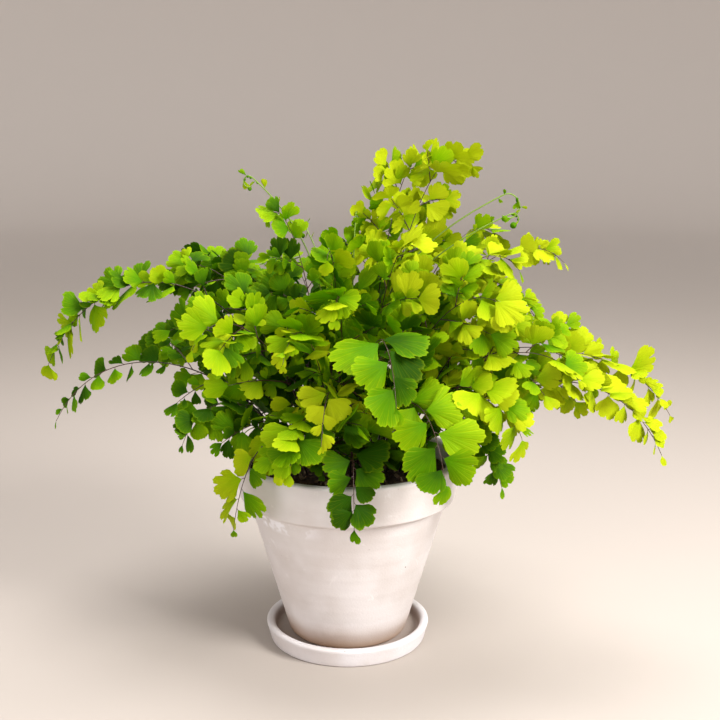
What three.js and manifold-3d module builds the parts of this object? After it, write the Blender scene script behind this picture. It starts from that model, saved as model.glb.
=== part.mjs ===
// A maidenhair fern in a white-washed clay pot that stands in its saucer.
// Millimetres, +Z up. The origin is the middle of the saucer's underside, +X is to the viewer's right
// and -Y points to the viewer.
import * as THREE from "three";
import { mergeVertices } from "three/addons/utils/BufferGeometryUtils.js";
import Module from "manifold-3d";

const wasm = await Module();
wasm.setup();

// Driving dimensions of the pot, its saucer and the soil.
const gap = 0.3; // clearance between pieces that touch on the real thing
const saucer = {
  radius: 44.3,
  footRadius: 41.5,
  height: 10.4,
  floor: 4.6,
  wall: 4.6,
  innerFoot: 1.2, // how much further in the inner wall ends
  lip: 1.4,
  sides: 28,
};
const pot = {
  rimRadius: 60,
  rimHeight: 21,
  rimTaper: 2.4, // how much narrower the rim band is at its lower corner
  overhang: 5.2, // how far the band stands proud of the body below it
  chamfer: 4.2,
  height: 98,
  baseRadius: 31,
  baseRounding: 2.6,
  wall: 5,
  floor: 6,
  lip: 1.6, // rounding of the rim's two top edges
  drainRadius: 6,
  sides: 32,
};
const soil = { belowRim: 8, mound: 3, moundRadius: 33, stipeDepth: 14 };
const clay = { color: 0xece2da, roughness: 0.85, metalness: 0 };
const earth = { color: 0x35251c, roughness: 1, metalness: 0 };
const youngStem = { color: 0x7ea62c, roughness: 0.5, metalness: 0 };

// Heights that follow from them.
const potBase = saucer.floor;
const potTop = potBase + pot.height;
const soilTop = potTop - soil.belowRim;

// The fern: a stipe is the bare wiry stem below the leaflets, a collar the short stretch one grows from.
const stipe = {
  radius: 0.8,
  branchRadius: 0.62,
  collar: 1,
  straight: 25,
  knots: [0.24, 0.36], // shares of the midline
  nearest: 0.03, // the least share between two of them
};
const crown = { inner: 5, outer: 27 };
const blade = { thickness: 0.65, bow: 0.14, wave: 0.03, clearance: 0.3, standOff: 2.2, tries: 16 };
const lamina = {
  start: 0.46, // share of the midline below the first leaflet
  branchStep: 0.075,
  pitch: 0.7, // leaflet spacing, as a share of the largest leaflet's length
  sweep: 36, // degrees that a leaflet leans forward
  droop: 12, // degrees that it hangs
  shingle: 12, // degrees that its forward edge dips under the next one
  lookUp: 0.2, // how much its face turns to the sky
  taper: 0.6,
  fade: 2, // the higher, the nearer to the tip the leaflets get small
  turnOut: { left: 0.85, right: 1.2 }, // how much a frond that runs there turns its upper side outwards
  tipShare: 0.97,
  bareTip: 0.03, // share of the midline between the last leaflet's place and the one at the tip
};
const branch = {
  length: 2.1, // in lengths of the frond's largest leaflet
  shortening: 0.2,
  outward: [0.75, 0.66], // sideways and forwards
  root: 0.06,
  lift: 0.05,
  sag: 0.14,
  leaflets: [[0.42, 0.78], [0.66, 0.76], [0.97, 0.74]], // [place along it, size], the last at its tip
};
const sidePlaces = branch.leaflets.slice(0, -1).map(([share]) => share);
const crozier = {
  bend: 4.6, // power of the height that a stalk leans by
  knots: [0.32, 0.5, 0.68, 0.8, 0.85, 0.88, 0.91, 0.94],
  buds: [0.89, 0.97],
  budRadius: 1.9,
  steps: 4,
  stepAngle: 56, // degrees
  shrinking: 0.12, // of the curl, each step
};

// Leaflet outlines from left to right, as [degrees from the leaflet's axis, share of its length].
const fanOutline = [[-54, 0.62], [-38, 0.96], [-14, 1], [-6, 0.8], [6, 1.03], [32, 0.98], [52, 0.58]];
const smallOutline = [[-48, 0.64], [-25, 1], [-2, 0.84], [24, 1], [48, 0.62]];
const smallLeaflet = 14.2; // below this length a leaflet takes the simpler outline

// Each leafy frond: azimuth of its tip in degrees (0 right, 270 towards the viewer), reach of the tip
// from the pot's axis, height of the tip, how far it climbs straight up before it leans, how far the
// arch stands above the tip, length of its largest leaflet, number of side branches.
const fronds = [
  [188, 155, 150, 122, 74, 17, 2], // long arch at the far left
  [197, 152, 128, 58, 62, 12, 2], // thin drooping frond at the lower left
  [174, 98, 188, 86, 40, 18, 2],
  [159, 80, 186, 86, 36, 18, 2],
  [190, 42, 224, 112, 26, 16, 2],
  [207, 93, 117, 36, 44, 16, 1],
  [214, 92, 166, 72, 38, 18, 2],
  [228, 84, 80, 36, 62, 17, 1], // hangs over the rim at the left
  [272, 76, 86, 28, 52, 17, 0], // hangs over the rim in the middle
  [251, 86, 115, 42, 44, 19, 1],
  [244, 72, 162, 84, 34, 18, 1],
  [262, 92, 130, 60, 42, 15, 1],
  [264, 60, 184, 96, 28, 17, 2],
  [283, 96, 148, 86, 56, 23, 1], // large leaflets that face the viewer
  [298, 96, 110, 54, 60, 21, 1],
  [257, 56, 108, 26, 26, 16, 0],
  [291, 48, 116, 26, 26, 16, 0],
  [308, 56, 112, 22, 26, 16, 0],
  [322, 106, 126, 58, 44, 20, 1],
  [328, 90, 97, 34, 50, 15, 1],
  [342, 163, 112, 46, 74, 16, 0], // lower long arch at the right
  [353, 168, 124, 72, 62, 16, 2], // upper long arch at the right
  [338, 126, 144, 58, 48, 18, 2],
  [348, 126, 142, 62, 48, 18, 2],
  [332, 92, 178, 82, 38, 19, 2],
  [344, 90, 200, 94, 34, 17, 2],
  [357, 113, 201, 106, 33, 12, 2],
  [24, 74, 246, 136, 38, 17, 2], // the tallest
  [256, 44, 208, 104, 24, 18, 1],
  [310, 52, 212, 100, 24, 18, 2],
  [62, 44, 236, 126, 26, 16, 2],
  [42, 58, 246, 130, 34, 17, 2],
  [30, 101, 201, 92, 48, 16, 2],
  [8, 104, 164, 66, 54, 17, 2],
  [44, 120, 150, 56, 60, 18, 2],
  [66, 104, 178, 78, 50, 18, 2],
  [88, 124, 134, 48, 64, 18, 2],
  [112, 108, 172, 78, 54, 18, 2],
  [131, 124, 142, 48, 56, 17, 2],
  [144, 112, 178, 80, 52, 18, 2],
  [164, 112, 142, 50, 58, 17, 2],
  [100, 84, 100, 28, 58, 16, 1],
  [62, 80, 104, 30, 52, 16, 1],
  [140, 84, 102, 28, 54, 16, 1],
];

// Young fronds still curled at the tip: azimuth, reach, height and radius of the curl.
const croziers = [
  [178, 50, 249, 4],
  [70, 12, 230, 4.5],
  [1, 81, 240, 8],
  [7, 86, 229, 4],
  [116, 58, 221, 5],
];

// A repeatable number from 0 to 1 for a seed.
function chance(seed) {
  const value = Math.sin(seed * 127.1 + 311.7) * 43758.5453;
  return value - Math.floor(value);
}

function spread(seed, amount) {
  return (2 * chance(seed) - 1) * amount;
}

const degrees = THREE.MathUtils.degToRad;
const up = new THREE.Vector3(0, 0, 1);

// Vertices and faces of one closed body, collected as it grows.
class Body {
  points = [];
  faces = [];

  vertex(point) {
    this.points.push(point.x, point.y, point.z);
    return this.points.length / 3 - 1;
  }

  quad(a, b, c, d) {
    this.faces.push(a, b, c, a, c, d);
  }

  geometry() {
    const geometry = new THREE.BufferGeometry();
    geometry.setAttribute("position", new THREE.Float32BufferAttribute(this.points, 3));
    geometry.setIndex(this.faces);
    geometry.computeVertexNormals();
    return geometry;
  }
}

// A closed geometry as a manifold-3d solid.
function solidOf(geometry) {
  const bare = geometry.index ? geometry.toNonIndexed() : geometry.clone();
  bare.deleteAttribute("normal");
  bare.deleteAttribute("uv");
  const merged = mergeVertices(bare, 1e-4);
  return new wasm.Manifold(
    new wasm.Mesh({
      numProp: 3,
      vertProperties: merged.attributes.position.array,
      triVerts: new Uint32Array(merged.index.array),
    }),
  );
}

function geometryOf(solid) {
  const mesh = solid.getMesh();
  const geometry = new THREE.BufferGeometry();
  geometry.setAttribute("position", new THREE.BufferAttribute(mesh.vertProperties, 3));
  geometry.setIndex(new THREE.BufferAttribute(mesh.triVerts, 1));
  geometry.computeVertexNormals();
  return geometry;
}

function meshOf(name, geometry, finish) {
  const mesh = new THREE.Mesh(geometry, new THREE.MeshStandardMaterial({ ...finish, flatShading: true }));
  mesh.name = name;
  return mesh;
}

// A closed [radius, height] profile turned about the Z axis.
function turned(profile, sides) {
  const points = [...profile, profile[0]].map(([radius, height]) => new THREE.Vector2(radius, height));
  const geometry = new THREE.LatheGeometry(points, sides);
  geometry.rotateX(Math.PI / 2);
  return geometry;
}

function saucerGeometry() {
  const { radius, footRadius, height, floor, wall, innerFoot, lip, sides } = saucer;
  return turned(
    [
      [0, 0],
      [footRadius, 0],
      [radius, height - lip],
      [radius - lip * 0.6, height],
      [radius - wall + lip, height],
      [radius - wall, height - lip],
      [radius - wall - innerFoot, floor],
      [0, floor],
    ],
    sides,
  );
}

// The pot's outside, its thick rim band, the inside, and the drain hole through its floor.
function potGeometry() {
  const { rimRadius, rimTaper, overhang, chamfer, baseRadius, baseRounding, wall, floor, lip } = pot;
  const bandLow = potTop - pot.rimHeight;
  const neck = rimRadius - rimTaper - overhang;
  return turned(
    [
      [pot.drainRadius, potBase],
      [baseRadius - baseRounding, potBase],
      [baseRadius, potBase + baseRounding],
      [neck, bandLow - chamfer],
      [rimRadius - rimTaper, bandLow],
      [rimRadius, potTop - lip],
      [rimRadius - lip, potTop],
      [rimRadius - wall + lip / 2, potTop],
      [rimRadius - wall, potTop - lip],
      [baseRadius - wall, potBase + floor],
      [pot.drainRadius, potBase + floor],
    ],
    pot.sides,
  );
}

// Inner radius of the pot's wall at a height.
function wallRadius(height) {
  const { wall, baseRadius, rimRadius } = pot;
  const low = potBase + pot.floor;
  return THREE.MathUtils.mapLinear(height, low, potTop - pot.lip, baseRadius - wall, rimRadius - wall);
}

function soilSolid(stems) {
  const low = potBase + pot.floor;
  const bulk = turned(
    [
      [0, low],
      [wallRadius(low) - gap, low],
      [wallRadius(soilTop) - gap, soilTop],
      [soil.moundRadius, soilTop + soil.mound],
      [0, soilTop + soil.mound],
    ],
    pot.sides,
  );
  return stems.reduce((whole, stem) => whole.subtract(stipeHole(stem)), solidOf(bulk));
}

// A stem's rings up to its first leaflet. In the soil it is straight.
function stipeKnots(path, knots) {
  const clear = stipe.straight / path.getLength();
  return [0, clear, ...knots.filter((share) => share > clear + stipe.nearest)];
}

// The plain hole that a stem stands in: its walls are a gap clear of the stem's first straight stretch.
function stipeHole(stem) {
  const body = new Body();
  const low = frameAt(stem, 0);
  const high = frameAt(stem, stipe.straight / stem.path.getLength());
  low.at.addScaledVector(low.along, -gap);
  const [foot, top] = [low, high].map((frame) => growRing(body, frame, stem.radius + 2 * gap));
  body.faces.push(foot[0], foot[2], foot[1]);
  joinRings(body, foot, top);
  body.faces.push(...top);
  return solidOf(body.geometry());
}

// A point given by azimuth, distance from the pot's axis and height.
function polar(azimuth, distance, height) {
  const angle = degrees(azimuth);
  return new THREE.Vector3(distance * Math.cos(angle), distance * Math.sin(angle), height);
}

// The fronds that lean out the most grow at the crown's edge, the upright ones in its middle.
function footOf(azimuth, reach, height) {
  const lean = reach / (reach + Math.max(height - soilTop, 0));
  return polar(azimuth, THREE.MathUtils.lerp(crown.inner, crown.outer, lean), soilTop - soil.stipeDepth);
}

// A frond's midline: up out of the crown, over an arch and down to its tip.
function frondPath([azimuth, reach, height, rise, droop]) {
  const foot = footOf(azimuth, reach, height);
  const tip = polar(azimuth, reach, height);
  const climb = foot.clone().lerp(tip, 0.12).setZ(soilTop + rise);
  const shoulder = foot.clone().lerp(tip, 0.8).setZ(height + droop);
  return new THREE.CubicBezierCurve3(foot, climb, shoulder, tip);
}

// Where a frond's upper side looks. The stipe's looks up. Among the leaflets it turns out to the front or
// the back, the more so the more the frond runs sideways.
function upperSide(azimuth) {
  const angle = degrees(azimuth);
  const outwards = Math.sin(angle) < 0.4 ? -1 : 1;
  const most = Math.cos(angle) < 0 ? lamina.turnOut.left : lamina.turnOut.right;
  const turn = most * (0.5 + chance(azimuth)) * Math.abs(Math.cos(angle));
  const turned = new THREE.Vector3(0, outwards * turn, 1).normalize();
  const { start } = lamina;
  return (share) => up.clone().lerp(turned, THREE.MathUtils.smoothstep(share, start - 0.1, start));
}

// Directions at a place on a stem: along it, to its left, and out of its upper side.
function frameAt({ path, upper }, share) {
  const along = path.getTangentAt(share);
  const left = new THREE.Vector3().crossVectors(upper(share), along).normalize();
  const above = new THREE.Vector3().crossVectors(along, left);
  return { at: path.getPointAt(share), along, left, above };
}

// A leaflet's edge as points from left to right, bowed down outwards and waved; offset is off its middle.
function bladeEdge({ at, outward, facing, length, seed }, offset) {
  const across = new THREE.Vector3().crossVectors(outward, facing).normalize();
  const face = new THREE.Vector3().crossVectors(across, outward);
  const outline = length < smallLeaflet ? smallOutline : fanOutline;
  return outline.map(([angle, share], place) => {
    const turn = degrees(angle + spread(seed + place, 4));
    const radius = length * share * (1 + spread(seed + place + 9, 0.06));
    const lift = blade.wave * length * Math.sin(5 * turn + seed) - blade.bow * share * radius + offset;
    return at
      .clone()
      .addScaledVector(across, radius * Math.sin(turn))
      .addScaledVector(outward, radius * Math.cos(turn))
      .addScaledVector(face, lift);
  });
}

// Joins a leaflet's two faces to the root quad that a collar leaves open. Both faces are split alike.
function growBlade(body, root, leaflet) {
  const upperEdge = bladeEdge(leaflet, blade.thickness / 2).map((point) => body.vertex(point));
  const lowerEdge = bladeEdge(leaflet, -blade.thickness / 2).map((point) => body.vertex(point));
  const flat = { ...leaflet, at: new THREE.Vector3(), outward: new THREE.Vector3(0, 1, 0), facing: up };
  const outline = bladeEdge(flat, 0).map(({ x, y }) => new THREE.Vector2(x, y)).reverse();
  const half = stipe.collar / 2;
  const contour = [new THREE.Vector2(half, 0), ...outline, new THREE.Vector2(-half, 0)];
  const upper = [root.right.upper, ...upperEdge.reverse(), root.left.upper];
  const lower = [root.right.lower, ...lowerEdge.reverse(), root.left.lower];
  for (const [a, b, c] of THREE.ShapeUtils.triangulateShape(contour, [])) {
    const corners = [upper[a], upper[b], upper[c]];
    if (new Set(corners).size === 3) body.faces.push(...corners);
    body.faces.push(lower[c], lower[b], lower[a]);
  }
  for (let i = 0; i + 1 < upper.length; i++) {
    body.quad(lower[i], lower[i + 1], upper[i + 1], upper[i]);
  }
}

// Three vertices round a stem: its upper side, its right, its left.
function growRing(body, { at, left, above }, radius) {
  const low = at.clone().addScaledVector(above, -radius / 2);
  const half = (radius * Math.sqrt(3)) / 2;
  return [
    body.vertex(at.clone().addScaledVector(above, radius)),
    body.vertex(low.clone().addScaledVector(left, -half)),
    body.vertex(low.clone().addScaledVector(left, half)),
  ];
}

function joinRings(body, from, to, open = -1) {
  for (let face = 0; face < 3; face++) {
    const next = (face + 1) % 3;
    if (face !== open) body.quad(from[face], from[next], to[next], to[face]);
  }
}

// Joins a branch's first ring to the root quad that a collar leaves open.
function joinRoot(body, { left, right }, [top, rightSide, leftSide]) {
  body.faces.push(left.upper, right.upper, top);
  body.quad(right.upper, right.lower, rightSide, top);
  body.quad(left.lower, left.upper, top, leftSide);
  body.quad(right.lower, left.lower, leftSide, rightSide);
}

// Grows a stem ring by ring. Each sprout takes one side of a short collar, and the tip's takes the end.
// A sprout that is left out leaves a plain ring.
function growStem(body, first, stem, sprouts, tip = null) {
  const { path, radius, knots } = stem;
  const ringAt = (share) => growRing(body, frameAt(stem, share), radius);
  const collar = stipe.collar / path.getLength();
  let last = first;
  for (const { share, side, grow } of [...knots.map((share) => ({ share })), ...sprouts]) {
    const [rear, front] = [ringAt(share), grow && ringAt(share + collar)];
    if (last) joinRings(body, last, rear);
    else body.faces.push(rear[0], rear[2], rear[1]);
    if (grow) {
      joinRings(body, rear, front, side < 0 ? 0 : 2);
      const edgeOf = ([top, right, left]) => ({ upper: top, lower: side < 0 ? right : left });
      const [behind, ahead] = [edgeOf(rear), edgeOf(front)];
      grow(side < 0 ? { left: ahead, right: behind } : { left: behind, right: ahead });
    }
    last = front || rear;
  }
  const end = ringAt(lamina.tipShare);
  const [upper, right, left] = end;
  joinRings(body, last, end);
  if (tip?.grow) tip.grow({ left: { upper, lower: left }, right: { upper, lower: right } });
  else body.faces.push(...end);
}

// What leaflets keep clear of. Each obstacle belongs to a frond, or to none.
const obstacles = [];

function addObstacle(solid, owner = null) {
  const { min, max } = solid.boundingBox();
  obstacles.push({ solid, min, max, owner });
}

function isClear(solid, isTested = () => true) {
  const { min, max } = solid.boundingBox();
  return obstacles.filter(isTested).every(
    (other) =>
      [0, 1, 2].some((axis) => min[axis] > other.max[axis] || max[axis] < other.min[axis]) ||
      solid.intersect(other.solid).volume() < 1e-6,
  );
}

// A bare stem with a gap round it, through all the rings that it has.
function stemGuard(stem, places) {
  const collar = stipe.collar / stem.path.getLength();
  const leafy = places.flatMap((share) => [share, share + collar]);
  const body = new Body();
  growStem(body, null, { ...stem, radius: stem.radius + gap, knots: [...stem.knots, ...leafy] }, []);
  return solidOf(body.geometry());
}

// The leaflet alone, thicker than it is and cut short of its stem, to test what it would cross.
function bladeGuard(leaflet, standOff) {
  const { at, facing } = leaflet;
  const body = new Body();
  const outward = leaflet.outward.clone().multiplyScalar(standOff);
  const across = new THREE.Vector3().crossVectors(leaflet.outward, facing).setLength(stipe.collar / 2);
  const rise = facing.clone().setLength(blade.thickness / 2 + blade.clearance);
  const corner = (side, lift) =>
    body.vertex(at.clone().add(outward).addScaledVector(across, side).addScaledVector(rise, lift));
  const root = {
    left: { upper: corner(-1, 1), lower: corner(-1, -1) },
    right: { upper: corner(1, 1), lower: corner(1, -1) },
  };
  const { thickness } = blade;
  blade.thickness += 2 * blade.clearance;
  growBlade(body, root, leaflet);
  blade.thickness = thickness;
  body.quad(root.left.lower, root.right.lower, root.right.upper, root.left.upper);
  return solidOf(body.geometry());
}

// A leaflet at the first of several tilts, and then smaller, where it crosses nothing. It starts in its own
// frond's stem, so that is tested a little way out.
function clearLeaflet({ at, along, left, above }, side, length, seed, owner) {
  for (let attempt = 0; attempt < blade.tries; attempt++) {
    const wander = 1 + (attempt % 8);
    const tilt = degrees(lamina.droop + spread(seed + attempt, 8 + 3 * wander));
    const roll = degrees(side * lamina.shingle + spread(seed + attempt + 40, 8 + 5 * wander));
    const turn = degrees(lamina.sweep - 2 * wander + spread(seed + attempt + 80, 3 + wander));
    const ahead = side ? left.clone().multiplyScalar(side * Math.cos(turn)) : new THREE.Vector3();
    const outward = ahead
      .addScaledVector(along, side ? Math.sin(turn) : 1)
      .multiplyScalar(Math.cos(tilt))
      .addScaledVector(above, -Math.sin(tilt))
      .normalize();
    const facing = above.clone().addScaledVector(up, lamina.lookUp).applyAxisAngle(outward, roll);
    const leaflet = { at, outward, facing, length: length * (attempt < 8 ? 1 : 0.76), seed };
    const guard = bladeGuard(leaflet, 0);
    const isFree =
      isClear(guard, (other) => other.owner !== owner) &&
      isClear(bladeGuard(leaflet, blade.standOff), (other) => other.owner === owner);
    if (isFree) {
      addObstacle(guard, owner);
      return leaflet;
    }
  }
  return null;
}

// A sprout that grows a leaflet on one side of its stem, or at the stem's tip for side 0.
function leafletSprout(body, stem, share, side, length, seed, owner) {
  const frame = frameAt(stem, share + (side ? stipe.collar / 2 / stem.path.getLength() : 0));
  const leaflet = clearLeaflet(frame, side, length, seed, owner);
  return { share, side, grow: leaflet && ((root) => growBlade(body, root, leaflet)) };
}

// Where a midline carries its branches, and above them its leaflets.
function placesOn(path, leaflet, branchCount) {
  const start = lamina.start + branchCount * lamina.branchStep;
  const leafy = lamina.tipShare - start;
  const count = Math.floor((leafy * path.getLength()) / (leaflet * lamina.pitch));
  const step = (leafy - lamina.bareTip) / count;
  return {
    branchPlaces: Array.from({ length: branchCount }, (_, place) => lamina.start + place * lamina.branchStep),
    leafPlaces: Array.from({ length: count }, (_, place) => start + place * step),
  };
}

// Branches leave the midline on alternate sides and droop a little.
function branchStems(midline, leaflet, seed) {
  const collar = stipe.collar / midline.path.getLength();
  return midline.branchPlaces.map((share, place) => {
    const side = place % 2 ? -1 : 1;
    const { at, along, left, above } = frameAt(midline, share + collar / 2);
    const length = leaflet * (branch.length - branch.shortening * place + spread(seed + place, 0.2));
    const [sideways, forwards] = branch.outward;
    const outward = left.multiplyScalar(sideways * side).addScaledVector(along, forwards).normalize();
    const middle = at.clone().addScaledVector(outward, length / 2).addScaledVector(up, length * branch.lift);
    const end = at.clone().addScaledVector(outward, length).addScaledVector(up, -length * branch.sag);
    const path = new THREE.QuadraticBezierCurve3(at, middle, end);
    return { path, radius: stipe.branchRadius, upper: () => above, knots: [branch.root], share, side };
  });
}

// A branch with a leaflet on each side and one at its tip, as a sprout of the midline.
function branchSprout(body, stem, leaflet, seed, owner) {
  const sides = [stem.side, -stem.side, 0];
  const sprouts = branch.leaflets.map(([share, size], place) =>
    leafletSprout(body, stem, share, sides[place], leaflet * size, seed + place, owner),
  );
  const tip = sprouts.pop();
  const grow = (root) => {
    const first = growRing(body, frameAt(stem, branch.root), stem.radius);
    joinRoot(body, root, first);
    growStem(body, first, { ...stem, knots: [] }, sprouts, tip);
  };
  return { share: stem.share, side: stem.side, grow };
}

// A frond grown whole: its branches, and its own leaflets, smaller towards the tip, on alternate sides.
function frondGeometry(midline, branches, leaflet, owner) {
  const body = new Body();
  const seed = 100 * owner;
  const sprouts = branches.map((stem, place) => {
    const { share, isFree } = stem;
    return isFree ? branchSprout(body, stem, leaflet, seed + 10 * place, owner) : { share };
  });
  const least = leaflet * (1 - lamina.taper);
  const tip = leafletSprout(body, midline, lamina.tipShare, 0, least, seed + 39, owner);
  midline.leafPlaces.forEach((share, place) => {
    const side = (place + branches.length) % 2 ? -1 : 1;
    const length = leaflet * (1 - lamina.taper * (place / midline.leafPlaces.length) ** lamina.fade);
    sprouts.push(leafletSprout(body, midline, share, side, length, seed + 40 + place, owner));
  });
  growStem(body, null, midline, sprouts, tip);
  return body.geometry();
}

// A crozier's midline: a tall thin stalk that leans out more and more, and curls over at its end.
function crozierPath([azimuth, reach, height, curl]) {
  const foot = footOf(azimuth, reach * 0.5, height);
  const top = polar(azimuth, reach, height);
  const outward = polar(azimuth, 1, 0);
  const points = [0, 0.3, 0.55, 0.75, 0.9].map((share) => {
    const lean = share ** crozier.bend;
    return foot.clone().lerp(top, lean).setZ(THREE.MathUtils.lerp(foot.z, height, share));
  });
  const centre = top.clone().addScaledVector(up, -curl);
  for (let turn = 0; turn <= crozier.steps; turn++) {
    const angle = degrees(turn * crozier.stepAngle);
    const radius = curl * (1 - crozier.shrinking * turn);
    points.push(
      centre
        .clone()
        .addScaledVector(outward, radius * Math.sin(angle))
        .addScaledVector(up, radius * Math.cos(angle)),
    );
  }
  return new THREE.CatmullRomCurve3(points);
}

// Tight young leaflets sit on the curl as small buds. The stalk's rings lie close where it curls.
function crozierSolid(stalk, seed) {
  const body = new Body();
  growStem(body, null, stalk, []);
  return crozier.buds.reduce((whole, share, place) => {
    const bud = new THREE.OctahedronGeometry(crozier.budRadius + spread(seed + place, 0.3));
    bud.rotateX(seed + place);
    bud.translate(...stalk.path.getPointAt(share).toArray());
    return whole.add(solidOf(bud));
  }, solidOf(body.geometry()));
}

function leafFinish(seed) {
  const color = new THREE.Color().setHSL(0.245 + spread(seed, 0.02), 0.75, 0.3 + spread(seed + 1, 0.05));
  return { color, roughness: 0.55, metalness: 0 };
}

function nodeName(kind, place) {
  return `${kind}_${String(place + 1).padStart(2, "0")}`;
}

const plant = new THREE.Group();
plant.name = "potted_maidenhair_fern";

const midlines = fronds.map((row) => {
  const [azimuth, , , , , leaflet, branchCount] = row;
  const path = frondPath(row);
  const knots = stipeKnots(path, stipe.knots);
  const upper = upperSide(azimuth);
  return { path, radius: stipe.radius, upper, knots, ...placesOn(path, leaflet, branchCount) };
});
const stalks = croziers.map((row) => {
  const path = crozierPath(row);
  const side = polar(row[0] + 90, 1, 0);
  return { path, radius: stipe.branchRadius, upper: () => side, knots: stipeKnots(path, crozier.knots) };
});
const potShape = potGeometry();
const soilInPot = soilSolid([...midlines, ...stalks]);
plant.add(meshOf("saucer", saucerGeometry(), clay));
plant.add(meshOf("pot", potShape, clay));
plant.add(meshOf("soil", geometryOf(soilInPot), earth));
addObstacle(solidOf(potShape));
addObstacle(soilInPot);

// Every stem is an obstacle before the first leaflet is placed. A branch that would cross one is left out.
const curled = stalks.map((stalk, place) => crozierSolid(stalk, 7 * place));
curled.forEach((solid) => addObstacle(solid));
midlines.forEach((midline, place) => {
  addObstacle(stemGuard(midline, [...midline.branchPlaces, ...midline.leafPlaces]), place);
});
const branchesOf = midlines.map((midline, place) =>
  branchStems(midline, fronds[place][5], 100 * place).map((stem) => {
    const guard = stemGuard(stem, sidePlaces);
    const isFree = isClear(guard, (other) => other.owner !== place);
    if (isFree) addObstacle(guard, place);
    return { ...stem, isFree };
  }),
);

midlines.forEach((midline, place) => {
  const geometry = frondGeometry(midline, branchesOf[place], fronds[place][5], place);
  plant.add(meshOf(nodeName("frond", place), geometry, leafFinish(place)));
});
curled.forEach((solid, place) => {
  plant.add(meshOf(nodeName("crozier", place), geometryOf(solid), youngStem));
});

export default plant;
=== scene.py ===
# A maidenhair fern in a whitewashed clay pot on its saucer. Lengths are in millimetres until a mesh is made.
import math
import bpy
import numpy as np
from mathutils.bvhtree import BVHTree
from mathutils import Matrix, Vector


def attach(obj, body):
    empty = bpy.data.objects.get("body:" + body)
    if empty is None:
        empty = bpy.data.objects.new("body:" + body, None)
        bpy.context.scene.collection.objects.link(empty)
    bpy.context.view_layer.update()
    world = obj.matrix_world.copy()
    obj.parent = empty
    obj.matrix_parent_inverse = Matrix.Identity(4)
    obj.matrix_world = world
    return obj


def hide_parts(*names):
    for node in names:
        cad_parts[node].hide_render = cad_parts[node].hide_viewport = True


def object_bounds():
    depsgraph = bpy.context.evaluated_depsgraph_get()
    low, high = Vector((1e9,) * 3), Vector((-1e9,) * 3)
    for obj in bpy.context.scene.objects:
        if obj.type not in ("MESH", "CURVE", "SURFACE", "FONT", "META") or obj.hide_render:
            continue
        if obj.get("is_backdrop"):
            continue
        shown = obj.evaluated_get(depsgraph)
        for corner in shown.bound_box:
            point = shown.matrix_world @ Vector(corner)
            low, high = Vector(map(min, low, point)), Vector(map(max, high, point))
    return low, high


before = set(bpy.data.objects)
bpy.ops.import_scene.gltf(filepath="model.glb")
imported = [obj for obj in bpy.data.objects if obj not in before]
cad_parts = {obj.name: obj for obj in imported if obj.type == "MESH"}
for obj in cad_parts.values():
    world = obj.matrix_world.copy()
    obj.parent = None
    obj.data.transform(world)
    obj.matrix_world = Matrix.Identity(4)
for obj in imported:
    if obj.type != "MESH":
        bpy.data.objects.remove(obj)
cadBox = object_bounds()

mm = 0.001
body = "root"
upward = np.array([0.0, 0.0, 1.0])


# A repeatable number from 0 to 1 for a seed, or for an array of seeds.
def chance(seed):
    value = np.sin(np.asarray(seed, float) * 127.1 + 311.7) * 43758.5453
    return value - np.floor(value)


def spread(seed, amount):
    return (2 * chance(seed) - 1) * amount


def unit(vectors):
    return vectors / np.linalg.norm(vectors, axis=-1, keepdims=True)


def polar(azimuth, distance, height):
    angle = math.radians(azimuth)
    return np.array([distance * math.cos(angle), distance * math.sin(angle), height])


# 0 below the first edge, 1 above the second, smooth between.
def ease(value, low, high):
    share = np.clip((value - low) / (high - low), 0, 1)
    return share * share * (3 - 2 * share)


# A colour as a picture program shows it, 0 to 255, as the linear one that a shader takes.
def paint(red, green, blue):
    shown = np.array([red, green, blue]) / 255
    linear = np.where(shown > 0.04045, ((shown + 0.055) / 1.055) ** 2.4, shown / 12.92)
    return (*linear.tolist(), 1.0)


# A new object in the scene, with its mesh, camera or lamp.
def putObject(name, data):
    thing = bpy.data.objects.new(name, data)
    bpy.context.scene.collection.objects.link(thing)
    return thing


# A shader socket that takes part in Python sums: each operator adds a Math node.
class Signal:
    def __init__(self, finish, socket):
        self.finish = finish
        self.socket = socket

    def maths(self, operation, *values):
        return self.finish.add("Math", dict(operation=operation), dict(enumerate(values)))

    def __add__(self, other):
        return self.maths("ADD", self, other)

    __radd__ = __add__

    def __sub__(self, other):
        return self.maths("SUBTRACT", self, other)

    def __rsub__(self, other):
        return self.maths("SUBTRACT", other, self)

    def __mul__(self, other):
        return self.maths("MULTIPLY", self, other)

    __rmul__ = __mul__

    def __truediv__(self, other):
        return self.maths("DIVIDE", self, other)

    def __pow__(self, other):
        return self.maths("POWER", self, other)

    def sine(self):
        return self.maths("SINE", self)

    def size(self):
        return self.maths("ABSOLUTE", self)

    # A ramp from 0 at the first value to 1 at the second, smooth at both ends.
    def between(self, low, high):
        inputs = {"Value": self, "From Min": low, "From Max": high}
        return self.finish.add("MapRange", dict(interpolation_type="SMOOTHSTEP"), inputs)


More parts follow.
